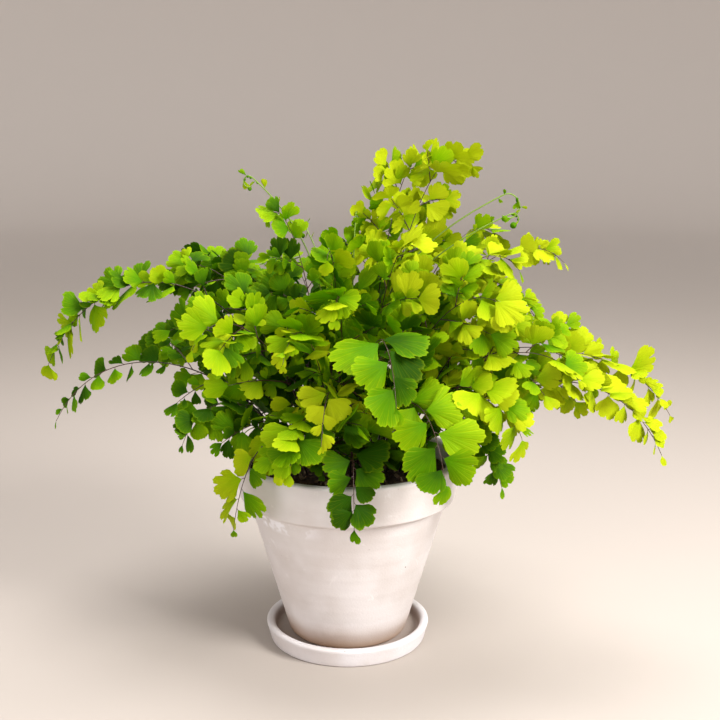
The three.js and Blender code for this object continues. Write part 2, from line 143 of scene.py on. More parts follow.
# A material that is built node by node.
class Finish:
    def __init__(self, name):
        self.material = bpy.data.materials.new(name)
        self.material.use_nodes = True
        self.tree = self.material.node_tree
        self.tree.nodes.clear()

    # A node: its settings first, then the values or links of its inputs, by name or by place.
    def add(self, kind, settings=None, inputs=None, output=0):
        node = self.tree.nodes.new("ShaderNode" + kind)
        for name, value in (settings or {}).items():
            setattr(node, name, value)
        for name, value in (inputs or {}).items():
            if isinstance(value, Signal):
                self.tree.links.new(value.socket, node.inputs[name])
            else:
                node.inputs[name].default_value = value
        return Signal(self, node.outputs[output])

    def place(self):
        return self.add("TexCoord", output=3)

    def attribute(self, name):
        return self.add("Attribute", dict(attribute_name=name), output=2)

    # Object coordinates stretched by a factor each way, in metres.
    def stretched(self, scale):
        return self.add("Mapping", None, {"Vector": self.place(), "Scale": scale})

    def noise(self, scale, detail=3.0, rough=0.55, vector=None, twist=0.0):
        inputs = {"Vector": vector or self.place(), "Scale": scale, "Detail": detail}
        inputs.update({"Roughness": rough, "Distortion": twist})
        return self.add("TexNoise", None, inputs)

    def mix(self, factor, first, second):
        settings = dict(data_type="RGBA", clamp_factor=True)
        return self.add("Mix", settings, {0: factor, 6: first, 7: second}, output=2)

    def bump(self, height, strength, distance):
        return self.add("Bump", None, {"Height": height, "Strength": strength, "Distance": distance})

    def shader(self, colour, rough, normal=None, shine=0.5):
        inputs = {"Base Color": colour, "Roughness": rough, "Specular IOR Level": shine}
        if normal:
            inputs["Normal"] = normal
        return self.add("BsdfPrincipled", None, inputs)

    def close(self, shader):
        output = self.tree.nodes.new("ShaderNodeOutputMaterial")
        self.tree.links.new(shader.socket, output.inputs["Surface"])
        return self.material


# Points, faces and values of one mesh, collected piece by piece. Each batch of faces has its material.
class Pile:
    def __init__(self, *values):
        self.points = []
        self.faces = []
        self.finishes = []
        self.values = {name: [] for name in values}
        self.count = 0

    def grow(self, points, faces, finish, **values):
        points = points.reshape(-1, 3)
        for batch in faces:
            self.faces += (batch.reshape(-1, batch.shape[-1]) + self.count).tolist()
        self.finishes += [finish] * sum(batch.size // batch.shape[-1] for batch in faces)
        for name, rows in self.values.items():
            rows.append(np.broadcast_to(np.ravel(values.get(name, 0.0)), len(points)))
        self.points.append(points)
        self.count += len(points)

    def piece(self, name, materials, sharp=None):
        mesh = bpy.data.meshes.new(name)
        mesh.from_pydata(np.concatenate(self.points) * mm, [], self.faces)
        mesh.polygons.foreach_set("material_index", self.finishes)
        for material in materials:
            mesh.materials.append(material)
        for value, rows in self.values.items():
            attribute = mesh.attributes.new(value, "FLOAT", "POINT")
            attribute.data.foreach_set("value", np.concatenate(rows).astype(np.float32))
        mesh.shade_smooth()
        if sharp:
            mesh.set_sharp_from_angle(angle=math.radians(sharp))
        return putObject(name, mesh)


# Hands a finished piece to the frame: its body and the solids it stands for, which it hides. Its slot is not
# used.
def settle(piece, slot, *nodes):
    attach(piece, body)
    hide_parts(*nodes)


# A closed profile turned about the Z axis: a grid of profile point and angle, closed both ways.
def turnedGrid(profile, columns):
    angle = np.linspace(0, 2 * math.pi, columns, endpoint=False)
    radius = profile[:, :1]
    grid = np.stack([radius * np.cos(angle), radius * np.sin(angle), profile[:, 1:] + 0 * angle], -1)
    row, column = np.indices((len(profile), columns))
    down = (row + 1) % len(profile) * columns
    ahead = (column + 1) % columns
    row = row * columns
    return grid, np.stack([row + column, row + ahead, down + ahead, down + column], -1)


# Camera

camera = dict(
    focal=1237, # pixels of a 720 pixel frame
    pitch=12.63, # degrees down
    place=(-3.6, -629.75, 294.5),
    centre=341, # pixel column that the lens looks at
)


def makeCamera():
    pixels = 720
    data = bpy.data.cameras.new("camera")
    data.sensor_width = 36
    data.lens = camera["focal"] * data.sensor_width / pixels
    data.shift_x = (pixels / 2 - camera["centre"]) / pixels
    data.clip_start = 0.01
    thing = putObject("camera", data)
    thing.location = [value * mm for value in camera["place"]]
    thing.rotation_euler = (math.radians(90 - camera["pitch"]), 0, 0)
    bpy.context.scene.camera = thing


# Studio: a pale floor that curves up all round, and soft lights: right, weaker left and overhead

studio = dict(
    flat=1900,
    bend=900,
    wall=1500,
    flatRings=8,
    bendRings=24,
    columns=96,
    colour=paint(180, 170, 162), # near the pot, and far from it where less light falls
    # Painted light: the floor and wall take a lighter colour far from the pot, where less lamp light falls.
    farPaintedLight=paint(232, 224, 218),
    sky=(1, 0.98, 0.96, 1),
    skyStrength=0.45,
    lamps=[ # name, place, aimed at, width, watts, colour
        ["key", (760, -600, 740), (20, 0, 130), 420, 19.5, (1, 0.99, 0.97)],
        ["fill", (-560, -960, 520), (0, 0, 130), 900, 7, (0.98, 0.985, 1)],
        ["top", (60, 100, 950), (0, 0, 150), 500, 9, (1, 1, 1)],
    ],
)


# The floor's outline is flat, then a quarter circle, then straight up.
def makeFloor():
    flat, bend, wall = studio["flat"], studio["bend"], studio["wall"]
    turn = np.linspace(0, math.pi / 2, studio["bendRings"])[1:]
    level = np.linspace(200, flat, studio["flatRings"])
    radius = np.concatenate([[1], level, flat + bend * np.sin(turn), [flat + bend]])
    height = np.concatenate([[0], 0 * level, bend * (1 - np.cos(turn)), [bend + wall]])
    grid, quads = turnedGrid(np.stack([radius, height], -1), studio["columns"])
    pile = Pile()
    pile.grow(grid, [quads[:-1], np.arange(studio["columns"])[None, :]], 0)
    finish = Finish("studioFloor")
    far = finish.add("VectorMath", dict(operation="LENGTH"), {"Vector": finish.place()}, output=1)
    # Painted light: lighter with distance from the pot, where the lamps reach less.
    paleWithPaintedLight = finish.mix(far.between(0.7, 2.6), studio["colour"], studio["farPaintedLight"])
    pile.piece("floor", [finish.close(finish.shader(paleWithPaintedLight, 0.9))])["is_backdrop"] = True


def makeLamps():
    for name, place, target, width, watts, colour in studio["lamps"]:
        data = bpy.data.lights.new(name, "AREA")
        data.size = width * mm
        data.energy = watts
        data.color = colour
        thing = putObject(name, data)
        thing.location = np.array(place) * mm
        x, y, z = np.array(target) - np.array(place)
        thing.rotation_euler = (math.atan2(math.hypot(x, y), -z), 0, math.atan2(y, x) - math.pi / 2)
    world = bpy.data.worlds.new("studio")
    world.use_nodes = True
    background = world.node_tree.nodes["Background"]
    background.inputs["Color"].default_value = studio["sky"]
    background.inputs["Strength"].default_value = studio["skyStrength"]
    bpy.context.scene.world = world
    bpy.context.scene.view_settings.view_transform = "Standard"


makeCamera()
makeFloor()
makeLamps()
print("studio and camera")


# Clay ware

pot = dict(
    rimRadius=60,
    rimHeight=21,
    rimTaper=2.4,
    overhang=5.2,
    ledge=2.4, # height of the slope under the rim band
    height=98,
    baseRadius=31,
    wall=5,
    floor=6,
    drainRadius=6,
    base=4.6, # height of its foot over the saucer's underside
    columns=160,
    step=1.3,
    waves=(0.55, 1.3, 2.4), # along its height
    waveSize=0.05,
    wobble=0.1,
    wash=paint(214, 208, 207),
    thin=paint(203, 195, 192),
    stain=paint(158, 120, 82),
    stainHeight=(5, 25),
    smears=0.8,
    paintedShadeRadius=24,
)
potTop = pot["base"] + pot["height"]

saucer = dict(
    radius=44.3,
    footRadius=41.5,
    height=10.4,
    floor=4.6,
    wall=4.6,
    columns=144,
    step=1.3,
    waves=(0.8, 2.1),
    waveSize=0.03,
    wobble=0.06,
    wash=paint(222, 218, 220),
    thin=paint(210, 203, 202),
    stain=paint(186, 168, 154),
    stainHeight=(-6, 4),
    smears=0.0,
    paintedShadeRadius=39.6,
)


# A profile from corners of [radius, height, rounding]. Each is cut back by its rounding and bridged by a
# parabola, and the straight stretches are divided into steps.
def roundedProfile(corners, step):
    spots = np.array([corner[:2] for corner in corners], float)
    cuts = [corner[2] for corner in corners]
    rows = []
    for place, cut in enumerate(cuts):
        here = spots[place]
        before = spots[place - 1]
        after = spots[(place + 1) % len(spots)]
        start = here + unit(before - here) * cut
        end = here + unit(after - here) * cut
        bend = 7 if cut else 1
        t = np.linspace(0, 1, bend)[:, None]
        rows.append(start * (1 - t) ** 2 + 2 * here * t * (1 - t) + end * t ** 2)
        onward = after + unit(here - after) * cuts[(place + 1) % len(spots)]
        pieces = int(np.linalg.norm(onward - end) / step)
        t = np.linspace(0, 1, pieces + 1, endpoint=False)[1:, None]
        rows.append(end * (1 - t) + onward * t)
    return np.concatenate(rows)


# Moves the wall in and out by waves along the height, and a little by the angle.
def thrown(grid, ware):
    x, y, height = np.moveaxis(grid, -1, 0)
    angle = np.arctan2(y, x)
    push = ware["wobble"] * (np.sin(2 * angle + 0.7) + 0.6 * np.sin(3 * angle + height * 0.04))
    for place, wave in enumerate(ware["waves"]):
        swell = np.sin(height * wave + 2.1 * place + 0.5 * np.sin(angle + place))
        push = push + ware["waveSize"] * swell / (1 + 0.4 * place)
    scale = 1 + push / np.maximum(np.hypot(x, y), 20)
    return grid * np.stack([scale, scale, np.ones_like(scale)], -1)


# Whitewashed clay: faint clouds and strokes, a stain that fades upwards from the foot, smears of thick
# wash under the rim band at the left, and painted shade, a darker taupe, within a radius, where the
# saucer's inside lies in shade.
def clayFinish(name, ware):
    finish = Finish(name)
    sideways, ahead, height = (
        finish.add("SeparateXYZ", None, {"Vector": finish.place()}, output=axis) / mm for axis in range(3)
    )
    radius = (sideways * sideways + ahead * ahead) ** 0.5
    brushed = finish.noise(1, 4, 0.6, finish.stretched((14, 14, 200)), 0.3)
    cloudy = finish.noise(38, 3, 0.5)
    grain = finish.noise(900, 2, 0.6)
    strokes = finish.noise(1, 5, 0.62, finish.stretched((30, 30, 46)), 2.2).between(0.6, 0.72)
    coat = (0.12 * brushed + 0.88 * cloudy).between(0.34, 0.62)
    colour = finish.mix(coat, ware["thin"], ware["wash"])
    colour = finish.mix(strokes * 0.3, colour, paint(244, 242, 242))
    ledge = height.between(70.5, 74.5) * (1 - height.between(77.5, 79)) * (1 - sideways.between(-34, -8))
    smear = ledge * finish.noise(70, 3, 0.6).between(0.5, 0.58) * ware["smears"]
    colour = finish.mix(smear, colour, paint(246, 245, 252))
    foot = (1 - (height + 5 * cloudy).between(*ware["stainHeight"])) * 0.85
    colour = finish.mix(foot, colour, ware["stain"])
    # Painted shade: a darker taupe within the radius, for the saucer's inside and the pot's floor and
    # underside.
    paintedInsideShade = (1 - radius.between(ware["paintedShadeRadius"] - 0.8, ware["paintedShadeRadius"] + 0.6)) * 0.9
    colour = finish.mix(paintedInsideShade, colour, paint(160, 144, 134))
    speck = finish.add("TexVoronoi", None, {"Vector": finish.place(), "Scale": 170, "Randomness": 1})
    rare = finish.noise(160, 0).between(0.68, 0.72)
    dots = (1 - speck.between(0.05, 0.1)) * rare * 0.7
    colour = finish.mix(dots, colour, paint(96, 74, 58))
    relief = 0.6 * grain + 0.25 * brushed + 0.5 * strokes + 0.7 * smear - 0.8 * dots
    rough = 0.62 + 0.22 * cloudy - 0.25 * smear
    return finish.close(finish.shader(colour, rough, finish.bump(relief, 0.3, 0.0006)))


# Clay ware from its profile's corners, with its finish, piece, slot and node.
def throwWare(ware, corners, finish, piece, slot, node):
    grid, quads = turnedGrid(roundedProfile(corners, ware["step"]), ware["columns"])
    pile = Pile()
    pile.grow(thrown(grid, ware), [quads], 0)
    settle(pile.piece(piece, [clayFinish(finish, ware)], 50), slot, node)


def makePot():
    rim = pot["rimRadius"]
    band = potTop - pot["rimHeight"]
    low = rim - pot["rimTaper"]
    neck = low - pot["overhang"]
    inside = pot["base"] + pot["floor"]
    corners = [
        [pot["drainRadius"], pot["base"], 0.8],
        [pot["baseRadius"], pot["base"], 3.4],
        [neck, band - pot["ledge"], 0.9],
        [low - 0.5, band, 0.8],
        [rim, potTop, 2.0],
        [rim - pot["wall"], potTop, 1.8],
        [pot["baseRadius"] - pot["wall"], inside, 3.0],
        [pot["drainRadius"], inside, 0.8],
    ]
    throwWare(pot, corners, "whitewashedClay", "washed_pot", "pot_clay", "pot")


def makeSaucer():
    radius, height = saucer["radius"], saucer["height"]
    inner = radius - saucer["wall"]
    corners = [
        [0.01, 0.0, 0],
        [saucer["footRadius"], 0.0, 1.2],
        [radius, height, 2.1],
        [inner, height, 2.1],
        [inner - 1.4, saucer["floor"], 1.3],
        [0.01, saucer["floor"], 0],
    ]
    throwWare(saucer, corners, "saucerClay", "washed_saucer", "saucer_clay", "saucer")


makePot()
makeSaucer()
print("pot and saucer")


# Soil

soil = dict(
    belowRim=8,
    mound=3,
    stipeDepth=14,
    gap=0.5,
    rings=64,
    columns=150,
    crumbs=2.2, # height of the surface's lumps
    chips=520,
    chipSize=(1.2, 4.6),
    chipShape=((0.5, 0.22, 0.1), (1, 0.5, 0.3)), # least and most of each side
)
soilTop = potTop - soil["belowRim"]


# A bumpy field: the mean of sine waves of one length and random headings.
def lumps(points, length, seed, waves=14):
    draw = np.random.default_rng(seed)
    headings = unit(draw.normal(size=(waves, 3))) * 2 * math.pi / length
    phases = draw.uniform(0, 2 * math.pi, waves)
    return np.sin(points @ headings.T + phases).mean(-1) * math.sqrt(waves)


# Height of the soil at a distance from the pot's axis.
def soilHeight(distance):
    return soilTop + soil["mound"] * (1 - ease(distance, 22, 52))


def wallRadius(height):
    low = pot["base"] + pot["floor"]
    inner = pot["baseRadius"] - pot["wall"]
    share = (height - low) / (potTop - low)
    return inner + share * (pot["rimRadius"] - pot["baseRadius"])


def soilFinish():
    finish = Finish("pottingSoil")
    fine = finish.noise(620, 4, 0.7)
    broad = finish.noise(120, 3, 0.6)
    colour = finish.mix(fine.between(0.35, 0.7), paint(30, 20, 14), paint(84, 60, 42))
    colour = finish.mix(broad.between(0.5, 0.75) * 0.5, colour, paint(112, 82, 58))
    return finish.close(finish.shader(colour, 0.95, finish.bump(fine + 0.5 * broad, 0.9, 0.0012)))


def barkFinish():
    finish = Finish("barkChips")
    age = finish.attribute("age")
    fibre = finish.noise(700, 3, 0.6)
    colour = finish.mix(age, paint(66, 42, 28), paint(186, 160, 128))
    colour = finish.mix(fibre * 0.5, colour, paint(58, 40, 28))
    return finish.close(finish.shader(colour, 0.85, finish.bump(fibre, 0.6, 0.0006)))


# The soil's closed profile with a lumpy top, and bark chips strewn over it as bent little blocks.
def makeSoil():
    low = pot["base"] + pot["floor"] + soil["gap"]
    distance = np.linspace(0.05, wallRadius(soilTop) - soil["gap"], soil["rings"])
    top = np.stack([distance, soilHeight(distance)], -1)
    bottom = [[wallRadius(low) - soil["gap"], low], [0.05, low]]
    profile = np.concatenate([top, bottom])[::-1]
    grid, quads = turnedGrid(profile, soil["columns"])
    radius = np.hypot(grid[..., 0], grid[..., 1])
    near = ease(grid[..., 2], soilTop - 3, soilTop - 0.5) * ease(radius, 0, 4)
    rise = lumps(grid, 9, 5) * 0.5 + lumps(grid, 3.6, 6) * 0.32 + lumps(grid, 1.9, 7) * 0.2
    grid[..., 2] += soil["crumbs"] * 0.62 * near * rise
    pile = Pile("age")
    pile.grow(grid, [quads], 0)

    draw = np.random.default_rng(11)
    count = soil["chips"]
    far = (distance[-1] - 2.5) * np.sqrt(draw.uniform(0.02, 1, count))
    angle = draw.uniform(0, 2 * math.pi, count)
    size = draw.uniform(*soil["chipSize"], (count, 1, 1))
    size = size * draw.uniform(*soil["chipShape"], (count, 1, 3))
    corner = np.array([[x, y, z] for x in (-1, 1) for y in (-1, 1) for z in (-1, 1)]) / 2
    block = corner * size * (1 + draw.uniform(-0.3, 0.3, (count, 8, 3)))
    turn = unit(draw.normal(size=(count, 1, 3)) * (1, 1, 0.6) + (0, 0, 0.8))
    side = unit(np.cross(turn, unit(draw.normal(size=(count, 1, 3)))))
    block = block[..., :1] * side + block[..., 1:2] * np.cross(turn, side) + block[..., 2:] * turn
    middle = np.stack([far * np.cos(angle), far * np.sin(angle), soilHeight(far)], -1)
    middle[:, 2] += soil["crumbs"] * 0.4 * lumps(middle, 9, 5) + 0.4
    box = np.array([[0, 1, 3, 2], [4, 6, 7, 5], [0, 4, 5, 1], [2, 3, 7, 6], [0, 2, 6, 4], [1, 5, 7, 3]])
    faces = box[None] + 8 * np.arange(count)[:, None, None]
    pile.grow(block + middle[:, None], [faces], 1, age=np.repeat(draw.uniform(0, 1, count) ** 1.6, 8))
    settle(pile.piece("crumbly_soil", [soilFinish(), barkFinish()], 40), "soil", "soil")


makeSoil()
print("soil")


# Fern

fern = dict(
    inner=5, # distance of upright stems' feet from the pot's axis
    outer=27,
    start=0.46, # share of a midline below its first main branch
    branchStep=0.075,
    controls=(0.12, 0.8), # share of the way out at a midline's inner controls
    tipShare=0.97,
    taper=0.5, # how much shorter leaflets are at the tip
    fade=3, # the higher, the nearer to the tip they get small
    turnOut=(0.85, 1.2), # how much fronds at the left and right turn their upper side out
    droop=12, # degrees that a leaflet hangs
    sweep=34, # degrees that it leans forward, and how many more at a frond's tip
    tipSweep=24,
    shingle=12, # degrees that its forward edge dips under the next one
    lookUp=0.2, # how much its face turns to the sky, and away from the pot's axis
    lookOut=0.5,
    sparse={197: 0.42, 228: 0.38, 262: 0.42, 272: 0.3, 283: 0.34, 298: 0.34}, # azimuth: spacing, no crest row
    crestLift=24, # degrees that a leaflet of the row over the stem rises
    crestSwing=38, # degrees that it turns from the stem at most
    crestSize=0.85, # its length in lengths of the leaflets beside it
    crestEnd=0.93, # share of the midline where that row ends
    finer=0.9, # length of small leaflets in lengths of the solids' ones
    large=(18, 21), # leaflet lengths that count as small and as large for that
    stiff=(14, 19), # leaflet lengths that are turned freely and little
    unlike=0.3, # how much leaflets differ in length
    pitch=0.36, # spacing of a midline's own leaflets in their lengths
    stipe=0.66, # radius of the stem at its foot
    twig=0.26,
    hair=0.15, # radius of a leaflet's own stalk
    tries=14,
    fullTries=7, # those at full length
    shrunk=0.78, # length at the other tries
    spreads=((20, 3), (26, 5)), # degrees of tilt and roll for a free leaflet, and more with each try
    guard=0.5, # radius round a stem that stays clear
    mostLeaflets=4000,
)

# One row a frond, as the solids have it: azimuth of its tip, reach, height of the tip, climb, arch,
# largest leaflet, branches. The last number is the frond's youth, from 0 dark to about 1 fresh yellow-green.
# It also holds painted light and shade: lower for fronds at the left, away from the key lamp, and higher for
# the twelfth, which others shade.
frondRows = [
    [188, 155, 150, 122, 74, 17, 2, 0.48],
    [197, 152, 128, 58, 62, 12, 2, 0.26],
    [174, 98, 188, 86, 40, 18, 2, 0.24],
    [159, 80, 186, 86, 36, 18, 2, 0.22],
    [190, 42, 224, 112, 26, 16, 2, 0.34],
    [207, 93, 117, 36, 44, 16, 1, 0.32],
    [214, 92, 166, 72, 38, 18, 2, 0.54],
    [228, 84, 80, 36, 62, 17, 1, 0.64],
    [272, 76, 86, 28, 52, 17, 0, 0.12],
    [251, 86, 115, 42, 44, 19, 1, 0.48],
    [244, 72, 162, 84, 34, 18, 1, 0.75],
    [262, 92, 130, 60, 42, 15, 1, 1.05],
    [264, 60, 184, 96, 28, 17, 2, 0.5],
    [283, 96, 148, 86, 56, 23, 1, 0.14],
    [298, 96, 110, 54, 60, 21, 1, 0.36],
    [257, 56, 108, 26, 26, 16, 0, 0.12],
    [291, 48, 116, 26, 26, 16, 0, 0.12],
    [308, 56, 112, 22, 26, 16, 0, 0.15],
    [322, 106, 126, 58, 44, 20, 1, 0.66],
    [328, 90, 97, 34, 50, 15, 1, 0.25],
    [342, 163, 112, 46, 74, 16, 0, 0.92],
    [353, 168, 124, 72, 62, 16, 2, 0.93],
    [338, 126, 144, 58, 48, 18, 2, 0.56],
    [348, 126, 142, 62, 48, 18, 2, 0.66],
    [332, 92, 178, 82, 38, 19, 2, 0.62],
    [344, 90, 200, 94, 34, 17, 2, 0.68],
    [357, 113, 201, 106, 33, 12, 2, 0.86],
    [24, 74, 246, 136, 38, 17, 2, 0.9],
    [256, 44, 208, 104, 24, 18, 1, 0.45],
    [310, 52, 212, 100, 24, 18, 2, 0.74],
    [62, 44, 236, 126, 26, 16, 2, 0.62],
    [42, 58, 246, 130, 34, 17, 2, 0.82],
    [30, 101, 201, 92, 48, 16, 2, 0.66],
    [8, 104, 164, 66, 54, 17, 2, 0.64],
    [44, 120, 150, 56, 60, 18, 2, 0.55],
    [66, 104, 178, 78, 50, 18, 2, 0.48],
    [88, 124, 134, 48, 64, 18, 2, 0.42],
    [112, 108, 172, 78, 54, 18, 2, 0.36],
    [131, 124, 142, 48, 56, 17, 2, 0.34],
    [144, 112, 178, 80, 52, 18, 2, 0.3],
    [164, 112, 142, 50, 58, 17, 2, 0.34],
    [100, 84, 100, 28, 58, 16, 1, 0.22],
    [62, 80, 104, 30, 52, 16, 1, 0.3],
    [140, 84, 102, 28, 54, 16, 1, 0.22],
]

# Branches of a frond: steps along the midline from the first main one, side, and length in leaflet lengths.
# The main ones are those of the solids. The low ones stand below them, the high and top ones above.
branches = dict(
    main=[[0, 1, 2.1], [1, -1, 1.9]],
    high=[[2, 1, 1.7], [2.9, -1, 1.4], [3.8, 1, 1.1]],
    low=[[-1.0, -1, 1.9], [-1.9, 1, 1.6]],
    top=[[4.7, -1, 1.1], [5.6, 1, 0.9]],
    longReach=140, # fronds that reach further carry no high branches
    tall=240, # fronds that end higher carry the top branches too
    outward=(0.75, 0.66),
    lift=0.05,
    sag=0.14,
    shares=(0.24, 0.4, 0.55, 0.69, 0.83, 0.97),
    crest=(0.2, 0.45, 0.7),
    sizes=(0.7, 0.76, 0.8, 0.78, 0.7, 0.74),
)


# A line by share of its length, made from dense points.
class Line:
    def __init__(self, points):
        self.points = points
        steps = np.linalg.norm(np.diff(points, axis=0), axis=1)
        self.length = steps.sum()
        self.shares = np.concatenate([[0], np.cumsum(steps)]) / self.length

    def at(self, share):
        return np.stack([np.interp(share, self.shares, column) for column in self.points.T], -1)

    def along(self, share):
        share = np.clip(share, 0.004, 0.996)
        return unit(self.at(share + 0.004) - self.at(share - 0.004))


# A Bezier curve through its control points by repeated blending.
def bezier(controls, count=240):
    t = np.linspace(0, 1, count)[:, None]
    rows = [np.asarray(control, float) for control in controls]
    while len(rows) > 1:
        rows = [first * (1 - t) + second * t for first, second in zip(rows, rows[1:])]
    return Line(rows[0])


def footOf(azimuth, reach, height):
    lean = reach / (reach + max(height - soilTop, 0))
    distance = fern["inner"] + lean * (fern["outer"] - fern["inner"])
    return polar(azimuth, distance, soilTop - soil["stipeDepth"])


# A frond's midline: up out of the crown, over an arch and down to its tip.
def midlineOf(azimuth, reach, height, rise, droop):
    foot = footOf(azimuth, reach, height)
    tip = polar(azimuth, reach, height)
    climb, shoulder = (foot + (tip - foot) * share for share in fern["controls"])
    climb[2] = soilTop + rise
    shoulder[2] = height + droop
    return bezier([foot, climb, shoulder, tip])


# Where a frond's upper side looks: up at its stipe, turned out to the front or back among its leaflets.
def upperSide(azimuth, share):
    angle = math.radians(azimuth)
    outwards = -1 if math.sin(angle) < 0.4 else 1
    most = fern["turnOut"][0 if math.cos(angle) < 0 else 1]
    turn = most * (0.5 + chance(azimuth)) * abs(math.cos(angle))
    turned = unit(np.array([0, outwards * turn, 1.0]))
    share = ease(np.asarray(share, float), fern["start"] - 0.1, fern["start"])[..., None]
    return upward + (turned - upward) * share


def frameAt(line, share, upper):
    along = line.along(share)
    left = unit(np.cross(upper, along))
    return line.at(share), along, left, np.cross(along, left)


# Tubes: centres as [tube, ring, xyz], a radius and values for each ring, and the side that their upper
# points look to. Both ends close in a point.
def growTubes(pile, centres, radii, upper, sides, finish, **values):
    tubes, rings = centres.shape[:2]
    along = unit(np.gradient(centres, axis=1))
    left = unit(np.cross(upper, along))
    above = np.cross(along, left)
    turn = np.linspace(0, 2 * math.pi, sides, endpoint=False)[:, None]
    around = left[:, :, None] * np.cos(turn) + above[:, :, None] * np.sin(turn)
    radii = np.broadcast_to(radii, (tubes, rings))[..., None, None]
    walls = (centres[:, :, None] + radii * around).reshape(tubes, -1, 3)
    ends = centres[:, [0, -1]] + along[:, [0, -1]] * radii[:, [0, -1], 0] * np.array([-0.5, 0.5])[:, None]
    size = rings * sides + 2
    side = np.arange(sides)
    ahead = (side + 1) % sides
    ring = np.arange(rings - 1)[:, None] * sides
    quads = [ring + side, ring + ahead, ring + sides + ahead, ring + sides + side]
    quads = np.stack(quads, -1).reshape(-1, 4)
    last = (rings - 1) * sides
    first = np.stack([np.full(sides, size - 2), ahead, side], -1)
    final = np.stack([np.full(sides, size - 1), last + side, last + ahead], -1)
    start = size * np.arange(tubes)[:, None, None]
    for name, value in values.items():
        whole = np.broadcast_to(value, (tubes, rings))
        values[name] = np.concatenate([whole.repeat(sides, 1), whole[:, [0, -1]]], 1)
    points = np.concatenate([walls, ends], 1)
    pile.grow(points, [quads + start, np.concatenate([first, final]) + start], finish, **values)


# Leaflets

blade = dict(
    halfAngle=54,
    stalk=0.09, # share of a leaflet that is its hair-thin stalk
    thickness=0.3,
    bow=0.14,
    cup=0.07,
    wave=0.035,
    lobeDepth=0.15,
    lobeSpread=0.07, # how much longer or shorter a lobe is
    toothDepth=0.034,
    teeth=3, # in each lobe
    shoulder=0.36, # how much shorter a blade is along its straight sides
    slant=0.2, # how much longer one of its sides is
    notchPower=0.46, # the lower, the narrower the notches
    shoulderPower=3.4,
    foldDepth=0.007,
    narrow=0.2, # how much narrower the fan is at the root
    rows=np.array([0.36, 0.74, 1.0]),
    columns=6, # grid columns in a lobe, two for each tooth
    lobes=(2, 3, 4, 5),
    lobeWidth=3.4, # length of a leaflet for each of its lobes
    small=12.5, # length under which fans get narrower, and by how much at last
    smallFan=0.42,
    skew=0.15, # how far the middle of a blade is pushed to a side
    waves=6,
)


# Directions of blades: to their right, outwards and out of their upper face.
def bladeAxes(leaves):
    outward = leaves["outward"]
    across = unit(np.cross(outward, leaves["facing"]))
    return across, outward, np.cross(across, outward)


# The rim of blades in shares of their length, by angle from -1 at the left to 1 at the right: it falls off
# at the shoulders, its lobes differ, and notches divide them, some deep, with fine ones between teeth.
def bladeRim(seed, side, lobes):
    phase = lobes * (side + 1) / 2
    notch = 1 - np.abs(np.sin(math.pi * phase)) ** blade["notchPower"]
    tooth = 1 - np.abs(np.sin(math.pi * phase * blade["teeth"]))
    depth = blade["lobeDepth"] * (0.3 + 1.5 * chance(seed + 7 + np.round(phase)) ** 2)
    envelope = 1 - blade["shoulder"] * np.abs(side) ** blade["shoulderPower"]
    envelope = envelope + spread(seed + 4, blade["slant"]) * side
    lobe = 1 + spread(seed + 30 + np.minimum(np.floor(phase), lobes - 1), blade["lobeSpread"])
    return envelope * lobe * (1 - depth * notch - blade["toothDepth"] * tooth)


